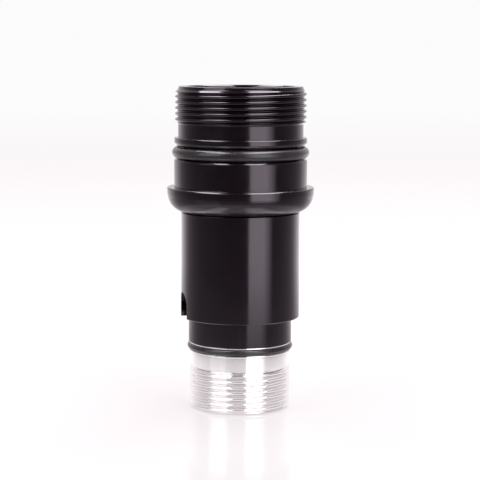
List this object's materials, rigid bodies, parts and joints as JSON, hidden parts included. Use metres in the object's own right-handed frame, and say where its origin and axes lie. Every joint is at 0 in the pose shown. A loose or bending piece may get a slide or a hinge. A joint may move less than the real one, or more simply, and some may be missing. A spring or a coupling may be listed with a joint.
{
  "type": "telescope laser collimator core",
  "caption": "Black anodised telescope laser collimator core with a rear thread, rubber rings, flange, barrel sleeve and bare metal threaded nose.",
  "frame": {"origin": "centre of the nose's end face, on the turning axis", "axes": "+Z along the turning axis from the nose to the rear thread; the index notch in the barrel sleeve lies towards -X"},
  "size_m": [0.0392, 0.0392, 0.0861],
  "materials": {
    "black_anodise": "gloss black anodise over fine turning",
    "bare_aluminium": "bare turned",
    "black_rubber": "satin moulded",
    "window_glass": "polished, coated",
    "lens_glass": "polished, coated",
    "ground_steel": "ground",
    "blackened_steel": "black oxide",
    "brass": "bare turned",
    "copper": "bare turned copper",
    "gold_plate": "bright plated",
    "wire_insulation": "extruded",
    "circuit_board": "solder resist",
    "chip_plastic": "moulded",
    "trimmer_plastic": "moulded",
    "capacitor_ceramic": "fired",
    "spring_steel": "drawn wire"
  },
  "bodies": {
    "body": {"head_body": "black_anodise", "barrel_sleeve": "black_anodise", "core_tube": "black_anodise", "nose_piece": "bare_aluminium", "upper_o_ring": "black_rubber", "lower_o_ring": "black_rubber", "window_retaining_ring": "black_anodise", "exit_window": "window_glass", "window_gasket": "black_rubber", "aperture_disc": "black_anodise", "gimbal_pins_outer": "ground_steel", "contact_board": "circuit_board", "contact_board_ring": "black_anodise", "contact_sleeve": "brass", "feed_spring": "spring_steel", "contact_spring": "spring_steel"},
    "gimbal": {"gimbal_ring": "bare_aluminium"},
    "laser_module": {"module_housing": "brass", "gimbal_pins_inner": "ground_steel", "diode_holder": "copper", "laser_diode": "gold_plate", "diode_retaining_ring": "brass", "diode_wires": "wire_insulation", "driver_board": "circuit_board", "driver_board_ring": "brass", "driver_chip": "chip_plastic", "current_trimmer": "trimmer_plastic", "driver_capacitors": "capacitor_ceramic", "focus_spring": "spring_steel"},
    "focus_carriage": {"collimating_lens": "lens_glass"},
    "focus_cell": {"lens_cell": "brass", "lens_retaining_ring": "brass"},
    "screw_px": {"alignment_screw_px": "blackened_steel"},
    "screw_nx": {"alignment_screw_nx": "blackened_steel"},
    "screw_py": {"alignment_screw_py": "blackened_steel"},
    "screw_ny": {"alignment_screw_ny": "blackened_steel"},
    "battery_contact": {"contact_plunger": "gold_plate"}
  },
  "joints": [
    {"name": "tilt_x", "type": "hinge", "parent": "body", "child": "gimbal", "pos_m": [0, 0, 0.036], "axis": [1, 0, 0], "range_deg": [-1, 1], "stiffness_Nm_per_rad": 8},
    {"name": "tilt_y", "type": "hinge", "parent": "gimbal", "child": "laser_module", "pos_m": [0, 0, 0.036], "axis": [0, 1, 0], "range_deg": [-1, 1], "stiffness_Nm_per_rad": 8},
    {"name": "screw_px_travel", "type": "slide", "parent": "body", "child": "screw_px", "axis": [1, 0, 0], "range_m": [-0.0006, 0.0006]},
    {"name": "screw_nx_travel", "type": "slide", "parent": "body", "child": "screw_nx", "axis": [1, 0, 0], "range_m": [-0.0006, 0.0006]},
    {"name": "screw_py_travel", "type": "slide", "parent": "body", "child": "screw_py", "axis": [0, 1, 0], "range_m": [-0.0006, 0.0006]},
    {"name": "screw_ny_travel", "type": "slide", "parent": "body", "child": "screw_ny", "axis": [0, 1, 0], "range_m": [-0.0006, 0.0006]},
    {"name": "focus_travel", "type": "slide", "parent": "laser_module", "child": "focus_carriage", "axis": [0, 0, 1], "range_m": [-0.0005, 0.0005], "deforming": ["focus_spring"]},
    {"name": "focus_turn", "type": "hinge", "parent": "focus_carriage", "child": "focus_cell", "pos_m": [0, 0, 0.0275], "axis": [0, 0, 1], "range_deg": [-361, 361]},
    {"name": "contact_travel", "type": "slide", "parent": "body", "child": "battery_contact", "axis": [0, 0, 1], "range_m": [-0.0016, 0], "stiffness_N_per_m": 500, "springref_m": 0.001, "deforming": ["contact_spring"]}
  ],
  "couplings": [
    {"joint": "screw_px_travel", "follows": "tilt_y", "m_per_rad": 0.0326},
    {"joint": "screw_nx_travel", "follows": "tilt_y", "m_per_rad": 0.0326},
    {"joint": "screw_py_travel", "follows": "tilt_x", "m_per_rad": -0.0326},
    {"joint": "screw_ny_travel", "follows": "tilt_x", "m_per_rad": -0.0326},
    {"joint": "focus_turn", "follows": "focus_travel", "rad_per_m": 12566}
  ]
}
